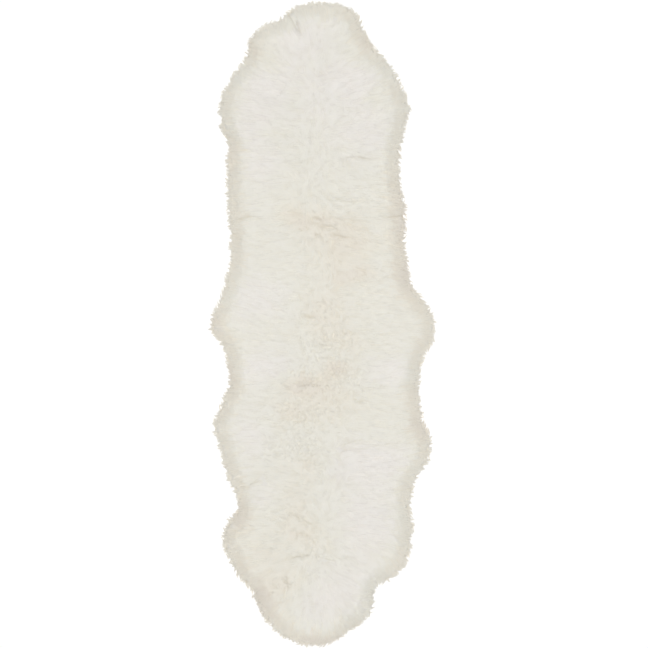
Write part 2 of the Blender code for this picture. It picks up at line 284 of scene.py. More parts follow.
PARTINGS = (
    Parting((-0.101, 0.865), (-0.055, 0.800), 0.0046, 0.009),
    Parting((0.045, 0.459), (0.155, 0.461), 0.0028, 0.005),
    Parting((0.016, 0.350), (0.099, 0.339), 0.0030, 0.006),
    Parting((-0.250, 0.287), (-0.168, 0.292), 0.0030, 0.005),
    Parting((-0.031, 0.297), (0.002, 0.284), 0.0028, 0.006),
    Parting((-0.017, 0.274), (0.037, 0.266), 0.0034, 0.008),
    Parting((-0.026, 0.254), (0.002, 0.238), 0.0028, 0.006),
    Parting((0.010, 0.252), (0.077, 0.235), 0.0026, 0.005),
    Parting((0.049, 0.285), (0.102, 0.281), 0.0026, 0.005),
    Parting((0.150, 0.300), (0.232, 0.304), 0.0026, 0.005),
    Parting((-0.064, 0.030), (-0.016, 0.018), 0.0028, 0.005),
    Parting((0.022, -0.126), (0.045, -0.147), 0.0034, 0.007),
    Parting((-0.067, -0.175), (-0.028, -0.156), 0.0028, 0.005),
    Parting((0.080, -0.204), (0.122, -0.219), 0.0028, 0.005),
    Parting((-0.250, -0.462), (-0.160, -0.430), 0.0034, 0.007),
    Parting((-0.168, -0.408), (-0.157, -0.452), 0.0028, 0.005),
    Parting((-0.098, -0.268), (-0.043, -0.266), 0.0028, 0.005),
    Parting((0.027, -0.366), (0.120, -0.344), 0.0026, 0.005),
    Parting((0.035, -0.348), (0.100, -0.318), 0.0026, 0.005),
    Parting((0.120, -0.342), (0.215, -0.330), 0.0024, 0.004),
    Parting((-0.098, -0.519), (-0.012, -0.569), 0.0026, 0.005),
    Parting((-0.073, -0.574), (-0.015, -0.616), 0.0026, 0.005),
    Parting((-0.096, -0.652), (-0.029, -0.639), 0.0028, 0.006),
    Parting((-0.029, -0.639), (0.038, -0.658), 0.0026, 0.005),
    Parting((-0.104, -0.694), (-0.096, -0.738), 0.0028, 0.005),
    Parting((0.052, 0.459), (0.062, 0.425), 0.0026, 0.004),
    Parting((-0.010, 0.712), (0.018, 0.690), 0.0026, 0.004),
    Parting((0.002, -0.062), (0.026, -0.064), 0.0028, 0.006),
    Parting((0.055, -0.018), (0.070, -0.024), 0.0028, 0.005),
)


# ---------------------------------------------------------------- arithmetic on many points at once
def unit(vectors):
    return vectors / np.maximum(np.linalg.norm(vectors, axis=-1, keepdims=True), 1e-9)


def turned(ways, angle):
    """Level directions turned about the upright."""
    sine, cosine = np.sin(angle), np.cos(angle)
    across, along = ways.T
    return np.column_stack((across * cosine - along * sine, across * sine + along * cosine))


def smooth_step(value, low, high):
    share = np.clip((value - low) / (high - low), 0, 1)
    return share * share * (3 - 2 * share)


def read_between(grid, low, high, part):
    """A grid's values read part of the way from its points low to its points high."""
    (i, j), (ii, jj) = low.T, high.T
    near = grid[i, j] * (1 - part[:, 0]) + grid[ii, j] * part[:, 0]
    far = grid[i, jj] * (1 - part[:, 0]) + grid[ii, jj] * part[:, 0]
    return near * (1 - part[:, 1]) + far * part[:, 1]


def noise(points, name):
    """Smooth noise between -1 and 1, whose swells are about a cell wide."""
    cell, seed = NOISES[name]
    table = np.random.default_rng(seed).uniform(-1, 1, (NOISE_CELLS, NOISE_CELLS))
    place = points[:, :2] / cell + NOISE_START
    corner = np.floor(place).astype(int)
    part = place - corner
    part = part * part * (3 - 2 * part)
    return read_between(table, corner % NOISE_CELLS, (corner + 1) % NOISE_CELLS, part)


class Field:
    """A value, or a vector, on a level grid over the rug, read smoothly between the grid's points."""
    low = np.array(CAD_BOX[0])[:2] - GRID_MARGIN
    high = np.array(CAD_BOX[1])[:2] + GRID_MARGIN
    count = np.ceil((high - low) / GRID_STEP).astype(int) + 1

    def __init__(self, values):
        self.values = values.reshape(*self.count, -1)

    @classmethod
    def points(cls):
        across, along = np.meshgrid(*(cls.low[i] + GRID_STEP * np.arange(cls.count[i]) for i in (0, 1)),
                                    indexing="ij")
        return np.stack((across.ravel(), along.ravel()), axis=1)

    def at(self, points):
        place = np.clip((points[:, :2] - self.low) / GRID_STEP, 0, self.count - 1.001)
        cell = place.astype(int)
        value = read_between(self.values, cell, cell + 1, (place - cell)[:, :, None])
        return value[:, 0] if value.shape[1] == 1 else value


# ---------------------------------------------------------------- how the wool lies
def merged_copy(node):
    """A bmesh copy of a CAD node with its corners joined."""
    bm = bmesh.new()
    bm.from_mesh(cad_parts[node].data)
    bmesh.ops.remove_doubles(bm, verts=bm.verts, dist=1e-5)
    return bm


def outline_steps():
    """The short straight steps of the rug's outline, as an array of their two ends, seam left out."""
    steps = []
    for pelt in PELTS:
        bm = merged_copy(pelt)
        cut = bmesh.ops.bisect_plane(bm, geom=bm.verts[:] + bm.edges[:] + bm.faces[:],
                                     plane_co=(0, 0, TIP_HEIGHT + 1e-4), plane_no=(0, 0, 1),
                                     clear_inner=True, clear_outer=True)
        for part in cut["geom_cut"]:
            if isinstance(part, bmesh.types.BMEdge):
                ends = [vert.co.xy for vert in part.verts]
                if any(abs(end.y - SEAM_ALONG) > 0.001 for end in ends):
                    steps.append([tuple(end) for end in ends])
        bm.free()
    return np.array(steps)


def amount_at(points, places):
    """How much of these places is felt at each point, their rims made uneven."""
    across = (points[:, 0] + WIDE_RIM * noise(points, "wide rims across")
              + FINE_RIM * noise(points, "fine rims across"))
    along = (points[:, 1] + WIDE_RIM * noise(points, "wide rims along")
             + FINE_RIM * noise(points, "fine rims along"))
    return sum(place.amount * np.exp(-((across - place.across) / place.wide) ** 2
                                     - ((along - place.along) / place.long) ** 2) for place in places)


def parting_at(points):
    """How deep the wool is parted at each point, in metres."""
    depth = np.zeros(len(points))
    for parting in PARTINGS:
        run = np.subtract(parting.end, parting.start)
        length = math.hypot(*run)
        offset = points[:, :2] - parting.start
        ahead = offset @ run / length
        aside = (offset[:, 1] * run[0] - offset[:, 0] * run[1]) / length
        share = np.clip(ahead / length, 0, 1)
        bow = PARTING_BOW * np.sin(share * math.pi) * noise(points, "parting bows")
        gap = np.hypot(ahead - share * length, aside + bow)
        ends = np.sin(share * math.pi) ** 0.5
        depth += parting.depth * ends * np.exp(-(gap / parting.width) ** 2)
    return depth


def inside_outline(points):
    """How far inside the outline each point is, below 0 outside it."""
    start = OUTLINE[:, 0]
    run = OUTLINE[:, 1] - start
    length = np.linalg.norm(run, axis=1)
    offset = points[:, None] - start
    share = np.clip((offset * run).sum(axis=2) / (length ** 2), 0, 1)
    gap = np.linalg.norm(offset - share[..., None] * run, axis=2).min(axis=1)
    crosses = (start[:, 1] > points[:, None, 1]) != (OUTLINE[:, 1, 1] > points[:, None, 1])
    rise = np.where(np.abs(run[:, 1]) > 1e-9, run[:, 1], 1e-9)
    crossing = start[:, 0] + (points[:, None, 1] - start[:, 1]) / rise * run[:, 0]
    odd = (crosses & (crossing > points[:, None, 0])).sum(axis=1) % 2 == 1
    return np.where(odd, gap, -gap)


def outline_pull(points):
    """Which way the outline around each point pulls the wool, and how one-sided that pull is."""
    middle = OUTLINE.mean(axis=1)
    length = np.linalg.norm(OUTLINE[:, 1] - OUTLINE[:, 0], axis=1)
    pull = middle - points[:, None]
    reach = np.sqrt((pull ** 2).sum(axis=2) + PULL_SOFTNESS ** 2)
    weight = length / reach ** 5
    total = (pull * weight[..., None]).sum(axis=1)
    return unit(total), np.linalg.norm(total, axis=1) / (weight * reach).sum(axis=1)


def smoothed_way_out(inside):
    """The level direction straight out of the rug on the fields' grid."""
    out = unit(-np.stack(np.gradient(inside, GRID_STEP), axis=-1))
    for _ in range(3):
        padded = np.pad(out, ((1, 1), (1, 1), (0, 0)), mode="edge")
        out = unit(padded[:-2, 1:-1] + padded[2:, 1:-1] + padded[1:-1, :-2] + padded[1:-1, 2:] + 2 * out)
    return out


def measure_lie():
    """The fields of the wool: how far inside the outline a place is, which way is out, which way the
    wool is combed, and how loosely it keeps to that (0 at the edges, 1 along the spine)."""
    points = Field.points()
    batches = np.array_split(points, GRID_BATCHES)
    inside = Field(np.concatenate([inside_outline(batch) for batch in batches]))
    pulls = [outline_pull(batch) for batch in batches]
    grid = inside.values[..., 0]
    out = smoothed_way_out(grid)
    comb = np.concatenate([way for way, _ in pulls]).reshape(out.shape)
    sure = np.concatenate([one_sided for _, one_sided in pulls]).reshape(grid.shape)
    sure = np.clip(sure / SURE_PULL, 0, 1)
    along = points[:, 1].reshape(grid.shape)
    across = smooth_step(along, *SHORT_NECK) * (1 - smooth_step(along, *LONG_NECK)) * ACROSS_LIE
    comb[..., 1] *= 1 - across
    comb = unit(comb)
    to_seam = 1 - 2 * smooth_step(along - SEAM_ALONG, *SEAM_TURN)
    to_seam *= 1 - smooth_step(along, *SPINE_END)
    spine = np.stack((0 * grid, to_seam * (1 - smooth_step(sure, 0.0, 0.9)) * SPINE_LIE), axis=-1)
    edge = (1 - smooth_step(grid, *EDGE_COMB))[..., None]
    comb = unit(out * edge + (comb * sure[..., None] + spine) * (1 - edge))
    spread = np.gradient(comb[..., 0], GRID_STEP, axis=0) + np.gradient(comb[..., 1], GRID_STEP, axis=1)
    loose = np.clip(1 - sure + smooth_step(spread, *COMB_SPREAD) * (grid > LOOSE_INSIDE), 0, 1)
    return inside, Field(out), Field(comb), Field(loose)


def measure_pile():
    """The fields of the wool's height away from the edges and of its slope."""
    points = Field.points()
    swells = SWELL_HEIGHT * noise(points, "swells")
    ripples = RIPPLE_HEIGHT * noise(points * RIPPLE_STRETCH, "ripples")
    level = Field(PILE_TOP - LEVEL_DROP + swells + ripples - parting_at(points))
    return level, Field(np.stack(np.gradient(level.values[..., 0], GRID_STEP), axis=-1))


OUTLINE = outline_steps()
INSIDE, OUT, COMB, LOOSE = measure_lie()
LEVEL, SLOPE = measure_pile()


def dome_height(points):
    """The height of the wool's rolled surface."""
    roll = np.clip((ROLL_WIDTH - INSIDE.at(points)) / ROLL_WIDTH, 0, 1)
    return TIP_HEIGHT + (LEVEL.at(points) - TIP_HEIGHT) * np.sqrt(1 - roll ** 2)


def dome(points):
    """How far out in the wool's roll each point is, 1 on its surface, the way out there, how far round
    the roll it is, and the fleece's own normal for shading."""
    height = LEVEL.at(points) - TIP_HEIGHT
    roll = np.clip((ROLL_WIDTH - INSIDE.at(points)) / ROLL_WIDTH, 0, None)
    rise = np.clip((points[:, 2] - TIP_HEIGHT) / height, 0, None)
    way_out = OUT.at(points) * (roll / ROLL_WIDTH)[:, None]
    normal = unit(np.column_stack((way_out, rise / height + 1e-6)))
    slant = EDGE_SLANT * (1 - smooth_step(INSIDE.at(points), *EDGE_SLANT_FADE))
    level_shade = OUT.at(points) * slant[:, None] - SLOPE.at(points)
    shade = unit(np.column_stack((level_shade, np.ones(len(points)))))
    return np.hypot(roll, rise), normal, np.minimum(roll, 1.2), shade


def combed_way(points, stray):
    """The level direction in which the wool is combed, each staple straying by its own step."""
    combed, loosened = RUFFLE
    turn = (DRIFT * noise(points, "drift")
            + (combed + loosened * LOOSE.at(points) ** 2) * noise(points, "ruffle"))
    waver = WAVER * smooth_step(INSIDE.at(points), 0.02, 0.06)
    aside = np.column_stack((noise(points, "waver across"), noise(points, "waver along"))) * waver[:, None]
    return turned(COMB.at(points[:, :2] + aside + stray), turn)


def standing(points):
    """How upright the wool stands, from 0, lying, to 1."""
    inner = smooth_step(INSIDE.at(points), 0.04, 0.09)
    loose = LOOSE.at(points)
    risen, uneven = STANDING_LOOSE
    upright = amount_at(points, CURLS) + risen * loose ** 2 + uneven * noise(points, "standing") * loose
    return np.clip(upright * inner, 0, 1)


def tint_and_shade_at(points):
    """The wool's tint and painted shade: lower where it is cool, higher where it is warm, and higher along
    the edge, partly painted shade of the roll, and in partings, painted shade.
    """
    edge = EDGE_TINT_AND_SHADE * (1 - smooth_step(INSIDE.at(points), *EDGE_TINT_AND_SHADE_FADE))
    return (MIDDLE_TINT + amount_at(points, WARM) - COOL_SHARE * amount_at(points, COOL) + edge
            + PARTING_SHADE_TINT * parting_at(points)
            + TINT_CLOUDS * noise(points, "wide tints") + TINT_CLOUDS * noise(points, "fine tints"))


# ---------------------------------------------------------------- growing the wool
Guides = namedtuple("Guides", "line sides tops shade upright length stop")


def staple_roots(step, rng):
    """Where the staples grow: a loosened triangular grid over the hide."""
    rows = np.arange(CAD_BOX[0][1], CAD_BOX[1][1], step * math.sqrt(3) / 2)
    columns = np.arange(CAD_BOX[0][0], CAD_BOX[1][0], step)
    across, along = np.meshgrid(columns, rows)
    across = across + (np.arange(len(rows)) % 2)[:, None] * step / 2
    places = np.stack((across.ravel(), along.ravel()), axis=1)
    places += rng.uniform(-LOOSENING, LOOSENING, places.shape) * step
    return places[(INSIDE.at(places) > HIDE_EDGE) & (parting_at(places) < PARTED)]


def notch_at(points):
    """How far the wool draws back from the outline in the small notches along it."""
    return NOTCH_DEPTH * np.clip(noise(points, "notches") - NOTCH_RARITY, 0, 1)


def fringe_roots(rng):
    """Where the small tufts grow that stick out over the edge, and how far each ends past the outline."""
    run = OUTLINE[:, 1] - OUTLINE[:, 0]
    length = np.linalg.norm(run, axis=1)
    ends = np.concatenate(([0], np.cumsum(length)))
    places, pasts = [], []
    for row in FRINGE:
        count = int(ends[-1] / row.spacing)
        along = (np.arange(count) + rng.uniform(0, 1, count)) * ends[-1] / count
        step = np.clip(np.searchsorted(ends, along) - 1, 0, len(run) - 1)
        share = (along - ends[step]) / length[step]
        edge = OUTLINE[step, 0] + share[:, None] * run[step]
        places.append(edge - OUT.at(edge) * rng.uniform(row.nearest, row.furthest, count)[:, None])
        uneven = row.past * (1 + 0.5 * noise(edge, "fringe")) + rng.normal(0, FRINGE_UNEVEN, count)
        pasts.append(np.minimum(uneven - notch_at(edge), FRINGE_FURTHEST))
    places, pasts = np.concatenate(places), np.concatenate(pasts)
    kept = INSIDE.at(places) > FRINGE_ROOT
    return places[kept], pasts[kept]


def ring_middles(points):
    """The middle of each of the strands' rings."""
    return [points[:, 3 * ring:3 * ring + 3].mean(axis=1) for ring in range(len(RING_SHARES))]


def bald_spots(points, rng):
    """Places where the wool parts so far that the undercoat would show, found on a fine grid."""
    middles = ring_middles(points) + [points[:, -1]]
    shown = []
    for low, high in zip(middles[:-1], middles[1:]):
        for share in (0.0, 0.25, 0.5, 0.75):
            place = low * (1 - share) + high * share
            shown.append(place[place[:, 2] > dome_height(place) - BALD_DEPTH])
    shown = np.concatenate(shown)[:, :2]
    low, high = np.array(CAD_BOX[0])[:2], np.array(CAD_BOX[1])[:2]
    size = np.ceil((high - low) / BALD_STEP).astype(int)
    cells = np.histogram2d(shown[:, 0], shown[:, 1], bins=size, range=np.stack((low, high), axis=1))[0]
    i, j = np.nonzero(cells < BALD_SHARE * np.median(cells[cells > 0]))
    places = low + (np.stack((i, j), axis=1) + rng.uniform(0.1, 0.9, (len(i), 2))) * BALD_STEP
    return places[(INSIDE.at(places) > BALD_INSIDE) & (parting_at(places) < PARTED / 4)]


def grow_guides(roots, past, kind, rng):
    """The middle line of each staple, by steps, with its sideways, upward and shading directions."""
    count = len(roots)
    inside = INSIDE.at(roots)
    loose = LOOSE.at(roots)
    surface = dome_height(roots)
    place = np.column_stack((roots, np.maximum(surface - kind.depth, 0.5 * surface)))
    upright = np.maximum(standing(roots), SWIRL_STAND * kind.swirl)
    hang = rng.uniform(*HANG, count)
    to_edge = TO_EDGE[0] * np.hypot(inside, surface - TIP_HEIGHT) + TO_EDGE[1]
    longer = kind.scale + LONGER_INSIDE * (1 - upright) * smooth_step(inside, 0.045, 0.085)
    length = np.minimum(STRAND_LENGTH * longer * rng.uniform(*LENGTH_SPREAD, count), to_edge)
    step = (length / GUIDE_STEPS)[:, None]
    crossing_share, crossing_turn = CROSSING
    crossing = ((rng.random(count) < crossing_share) * smooth_step(loose, 0.25, 0.7)
                * rng.normal(0, crossing_turn, count))
    combed_spin, swirl_spin, upright_spin = SPIN
    spin = (rng.normal(0, combed_spin + swirl_spin * kind.swirl, count)
            + upright_spin * upright * rng.normal(0, 1, count) + crossing)
    height = rng.normal(1.0, HEIGHT_SPREAD, count) + CURL_RISE * upright
    stray = rng.normal(0, STRAY, roots.shape) * smooth_step(inside, 0.03, 0.07)[:, None]
    way = None
    line, ways, normals, shades = [place], [], [], []
    for index in range(GUIDE_STEPS + 1):
        share = index / GUIDE_STEPS
        out, normal, roll, shade = dome(place)
        combed = np.column_stack((turned(combed_way(place, stray), spin), -hang * roll))
        hold = (1 - EDGE_SLACK * share * roll)[:, None]
        lying = unit(combed - hold * (combed * normal).sum(axis=1, keepdims=True) * normal)
        target = height * (ROOT_LIE + TIP_LIE * smooth_step(share, 0.0, 0.4)) + TIP_LIFT * share
        pushed = np.clip(PUSH * (target - out), *PUSH_LIMITS) * (1 - share * PUSH_FADE)
        lift = pushed + STAND * upright * (1 - share)
        wanted = unit(lying * (1 - STAND_SHARE * upright)[:, None] + normal * lift[:, None])
        way = wanted if way is None else unit(KEPT_WAY * way + NEW_WAY * wanted)
        ways.append(way)
        normals.append(normal)
        curled = (CURL_SHADE * upright)[:, None]
        shades.append(unit(shade * (1 - curled) + np.cross(way, unit(np.cross(normal, way))) * curled))
        if index < GUIDE_STEPS:
            place = place + way * step
            place[:, 2] = np.clip(place[:, 2], LOWEST, dome_height(place) + HIGHEST * (1 + upright))
            line.append(place)
    line, ways, normals, shades = (np.stack(parts, axis=1) for parts in (line, ways, normals, shades))
    sides = unit(np.cross(normals, ways))
    stop = np.minimum(reached(line, past), np.minimum(before_turning(ways), before_parting(line)))
    return Guides(line, sides, np.cross(ways, sides), shades, upright, length * stop, stop)


def reached(line, past):
    """How much of each guide line lies within this distance past the outline."""
    room = INSIDE.at(line.reshape(-1, 3)).reshape(line.shape[:2]) + past[:, None]
    after = np.argmax(room < 0, axis=1)
    rows = np.arange(len(line))
    last, first = room[rows, after - 1], room[rows, after]
    share = (after - 1 + last / np.maximum(last - first, 1e-9)) / GUIDE_STEPS
    return np.where(after > 0, np.clip(share, SHORTEST, 1), 1.0)


def before_turning(ways):
    """How much of each guide line lies before it turns back on itself."""
    level = unit(ways[..., :2])
    start = GUIDE_STEPS // 3
    turned_back = (level * level[:, start:start + 1]).sum(axis=2) < TURNED_BACK
    turned_back[:, :start] = False
    return np.where(turned_back.any(axis=1), np.argmax(turned_back, axis=1) / GUIDE_STEPS, 1.0)


def before_parting(line):
    """How much of each guide line lies before it meets a parting."""
    met = parting_at(line.reshape(-1, 3)).reshape(line.shape[:2]) > PARTED
    met[:, 0] = False
    return np.where(met.any(axis=1), np.maximum(np.argmax(met, axis=1) / GUIDE_STEPS, SHORTEST_PARTED), 1.0)


def grow_strands(roots, guides, kind, rng):
    """The rings and the tip of every strand: their middles, side ways, top ways and shading normals."""
    staples, count = len(roots), STRANDS_PER_STAPLE
    turn = rng.uniform(0, math.tau, (staples, 1)) + np.arange(count) * GOLDEN_ANGLE
    reach = kind.reach * np.sqrt((np.arange(count) + 0.5) / count) * rng.uniform(0.8, 1.2, (staples, count))
    across, up = reach * np.cos(turn), FLATNESS * reach * np.sin(turn)
    upright = guides.upright
    gather = kind.gathered + GATHERING * upright + GATHERING * noise(roots, "gathering")
    gather = np.clip(gather, 0.0, MOST_GATHERED)[:, None]
    ends = rng.uniform(*END_SPREAD, (staples, count))
    wave_start = (rng.uniform(0, math.tau, (staples, 1))
                  + rng.normal(0, 0.5, (staples, count)) * (1 + 2 * upright)[:, None])
    lying_wave, standing_wave = WAVE_HEIGHT
    wave_size = (lying_wave + standing_wave * upright)[:, None] * rng.uniform(0.5, 1.4, (staples, count))
    rows = np.arange(staples)[:, None]
    rings = []
    for share in RING_SHARES + (1.0,):
        place = np.clip(share * ends * guides.stop[:, None] * GUIDE_STEPS, 0, GUIDE_STEPS * 0.9999)
        low = place.astype(int)
        part = (place - low)[..., None]
        middle, side, top, shade = (kind_of[rows, low] * (1 - part) + kind_of[rows, low + 1] * part
                                    for kind_of in (guides.line, guides.sides, guides.tops, guides.shade))
        past = np.clip(share * ends * guides.stop[:, None] - 1, 0, None) * guides.length[:, None]
        middle = middle + past[..., None] * unit(np.cross(side, top))
        spread = 1 - gather * share ** 1.3
        swing = wave_size * share * 2 * np.sin(wave_start + share * WAVE_TURN)
        aside, above = across * spread + swing, up * spread + 0.5 * swing
        centre = middle + aside[..., None] * side + above[..., None] * top
        centre[..., 2] = np.maximum(centre[..., 2], LOWEST_STRAND)
        rings.append([rows_of.reshape(-1, 3) for rows_of in (centre, side, top, shade)])
    return rings


def untwisted(rings):
    """Which strands keep their sides from ring to ring, and so don't turn inside out."""
    sides = [unit(side) for _, side, _, _ in rings]
    turns = [(side * ahead).sum(axis=1) for side, ahead in zip(sides[:-1], sides[1:])]
    widths = [np.linalg.norm(side, axis=1) for _, side, _, _ in rings]
    return (np.min(turns, axis=0) > 0.1) & (np.min(widths, axis=0) > 0.4)


def strand_points(rings, rng):
    """The corner points of all strands, strands by corners by three, and their shading normals."""
    strands = len(rings[0][0])
    size = rng.uniform(*STRAND_SPREAD, strands)
    twist = rng.uniform(-STRAND_TWIST, STRAND_TWIST, strands)[:, None]
    corners, shades = [], []
    for (centre, side, top, shade), width in zip(rings, RING_WIDTHS):
        wide = (size * width * STRAND_HALF_WIDTH)[:, None]
        ridge = (size * width * STRAND_RIDGE)[:, None]
        side, top = side * np.cos(twist) + top * np.sin(twist), top * np.cos(twist) - side * np.sin(twist)
        corners += [centre - side * wide - top * ridge * RIDGE_DOWN,
                    centre + side * wide - top * ridge * RIDGE_DOWN,
                    centre + top * ridge * RIDGE_UP]
        shades += [shade] * 3
    corners.append(rings[-1][0])
    shades.append(rings[-1][3])
    return np.stack(corners, axis=1), np.stack(shades, axis=1)


def grown(roots, past, kind, rng):
    """Strands grown from these roots: their points, shading normals, tints and places along the rug."""
    guides = grow_guides(roots, past, kind, rng)
    rings = grow_strands(roots, guides, kind, rng)
    points, shades = strand_points(rings, rng)
    owner = np.repeat(np.arange(len(roots)), STRANDS_PER_STAPLE)
    seen = guides.line[np.arange(len(roots)), np.rint(SEEN_SHARE * guides.stop * GUIDE_STEPS).astype(int)]
    tint = tint_and_shade_at(seen) + rng.normal(0, STAPLE_TINT, len(roots))
    tint = tint[owner] + rng.normal(0, STRAND_TINT, len(owner))
    kept = untwisted(rings)
    return points[kept], shades[kept], tint[kept], roots[owner, 1][kept]


# ---------------------------------------------------------------- the strands' meshes
def strand_faces():
    """One strand's faces as corner numbers: its base, its sides, and the three faces of its point."""
    faces = [(0, 2, 1)]
    for ring in range(len(RING_SHARES) - 1):
        low, high = 3 * ring, 3 * ring + 3
        for side in range(3):
            ahead = (side + 1) % 3
            faces.append((low + side, low + ahead, high + ahead, high + side))
    last, tip = 3 * (len(RING_SHARES) - 1), 3 * len(RING_SHARES)
    faces += [(last + side, last + (side + 1) % 3, tip) for side in range(3)]
    return faces


def corner_normals(points, shades, faces):
    """Each face corner's normal: its strand's own blended with the fleece's, but never against its face."""
    whole = []
    share = NORMAL_BLEND + QUIET_SWING * noise(points[:, 4], "quiet places")
    share = np.clip(share, 0, MOST_BLENDED)[:, None]
    own = [points[:, 3 * ring:3 * ring + 3] - middle[:, None]
           for ring, middle in enumerate(ring_middles(points))]
    own.append(points[:, -1:] - points[:, -4:-1].mean(axis=1, keepdims=True))
    own = unit(np.concatenate(own, axis=1))
    for face in faces:
        a, b, c = (points[:, corner] for corner in face[:3])
        flat = unit(np.cross(b - a, c - a))
        for corner in face:
            blend = unit((1 - share) * own[:, corner] + share * shades[:, corner])
            against = (blend * flat).sum(axis=1, keepdims=True) < GRAZING
            whole.append(np.where(against, flat, blend))
    return np.stack(whole, axis=1)


def strand_map(points, tint, pattern):
    """Each face corner's place in the strand's map: its tint and painted shade across, and from root to tip
    upwards, where a parting takes it down to the dark of the roots, as painted shade."""
    count, corners = points.shape[:2]
    upwards = np.concatenate((np.repeat(RING_SHARES, 3), [1.0])) * MAP_SPAN + MAP_START
    sideways = np.concatenate((np.tile([-1.0, 1.0, 0.0], len(RING_SHARES)), [0.0])) * MAP_STRAND_WIDTH
    u = (MAP_TINT_START + MAP_TINT_SPAN * np.clip(tint, 0, 1))[:, None] + sideways[pattern][None]
    parting_shade = np.clip(parting_at(points.reshape(-1, 3)).reshape(count, corners) / PARTING_SHADE_DEPTH, 0, 1)
    v = (upwards * (1 - PARTING_SHADE_DARKEST * parting_shade))[:, pattern]
    v[:, 1] -= MAP_BASE_STEP
    return np.stack((u, v), axis=-1)


def strand_mesh(name, points, shades, tint):
    """One mesh of many strands, with their map and their normals."""
    count, corners = points.shape[:2]
    faces = strand_faces()
    sizes = np.tile([len(face) for face in faces], count)
    pattern = np.concatenate(faces)
    corner_of = (pattern + corners * np.arange(count)[:, None]).ravel()
    starts = np.concatenate(([0], np.cumsum(sizes)[:-1]))
    mesh = bpy.data.meshes.new(name)
    mesh.vertices.add(count * corners)
    mesh.vertices.foreach_set("co", points.astype(np.float32).ravel())
    mesh.loops.add(len(corner_of))
    mesh.loops.foreach_set("vertex_index", corner_of.astype(np.int32))
    mesh.polygons.add(len(sizes))
    mesh.polygons.foreach_set("loop_start", starts.astype(np.int32))
    mesh.update(calc_edges=True)
    mesh.shade_smooth()
    places = strand_map(points, tint, pattern).astype(np.float32)
    mesh.uv_layers.new(name="OFBake").data.foreach_set("uv", places.ravel())
    mesh.validate()
    mesh.normals_split_custom_set(corner_normals(points, shades, faces).reshape(-1, 3))
    return mesh


# ---------------------------------------------------------------- materials
class Value:
    """A shader socket that takes part in Python sums."""
    def __init__(self, tree, socket):
        self.tree, self.socket = tree, socket

    def math(self, operation, *others):
        node = self.tree.nodes.new("ShaderNodeMath")
        node.operation = operation
        for slot, value in zip(node.inputs, (self,) + others):
            if isinstance(value, Value):
                self.tree.links.new(value.socket, slot)
            else:
                slot.default_value = value
        return Value(self.tree, node.outputs[0])

    def __add__(self, other):
        return self.math("ADD", other)

    def __radd__(self, other):
        return self.math("ADD", other)

    def __mul__(self, other):
        return self.math("MULTIPLY", other)

    def __rmul__(self, other):
        return self.math("MULTIPLY", other)

    def __sub__(self, other):
        return self.math("SUBTRACT", other)

    def __rsub__(self, other):
        return self.math("MULTIPLY", -1.0).math("ADD", other)


class Finish:
    """A material being made."""
    def __init__(self, name):
        self.material = bpy.data.materials.new(name)
        self.material.use_nodes = True
        self.tree = self.material.node_tree
        self.shader = self.tree.nodes["Principled BSDF"]

    def node(self, kind, settings=None, stops=None, **inputs):
        node = self.tree.nodes.new("ShaderNode" + kind)
        for name, value in (settings or {}).items():
            setattr(node, name, value)
        if stops:
            elements = node.color_ramp.elements
            while len(elements) < len(stops):
                elements.new(0.5)
            for element, (position, colour) in zip(elements, stops):
                element.position = position
                element.color = colour
        for name, value in inputs.items():
            self.set(node.inputs[name.replace("_", " ")], value)
        return node

    def set(self, slot, value):
        if isinstance(value, Value):
            self.tree.links.new(value.socket, slot)
        elif isinstance(value, bpy.types.NodeSocket):
            self.tree.links.new(value, slot)
        else:
            slot.default_value = value

    def value(self, node, output=0):
        return Value(self.tree, node.outputs[output])

    def darkened(self, colour, by, share=1.0):
        """A colour multiplied by another, wholly or by a share."""
        mix = self.node("Mix", {"data_type": "RGBA", "blend_type": "MULTIPLY"}, Factor=share)
        self.set(mix.inputs[6], colour)
        self.set(mix.inputs[7], by)
        return mix.outputs[2]

    def give(self, **inputs):
        for name, value in inputs.items():
            self.set(self.shader.inputs[name.replace("_", " ")], value)


# The wool's tints, from cool white to ochre, and its darkening from root to tip.
TINTS = [(0.0, (0.970, 0.948, 0.917, 1)), (0.42, (0.950, 0.938, 0.872, 1)),
         (0.78, (0.948, 0.910, 0.822, 1)), (1.0, (0.915, 0.872, 0.796, 1))]
ROOT_DARK = [(0.0, (0.87, 0.85, 0.81, 1)), (0.12, (0.93, 0.92, 0.90, 1)),
             (0.45, (0.98, 0.975, 0.965, 1)), (0.8, (1, 1, 1, 1))]
STREAK_DARK = (0.88, 0.85, 0.78, 1)
STREAKS = (420.0, 5.0, 1.0)  # across the map and up it
# painted shade: the undercoat is darkened for the shade that dense wool casts among itself, which its
# smooth surface doesn't
UNDERCOAT_SHADE = (0.91, 0.905, 0.90, 1)
SUEDE_TINTS = [(0.3, (0.62, 0.53, 0.41, 1)), (0.7, (0.76, 0.69, 0.58, 1))]
FLOOR_WHITE = (0.93, 0.93, 0.93, 1)


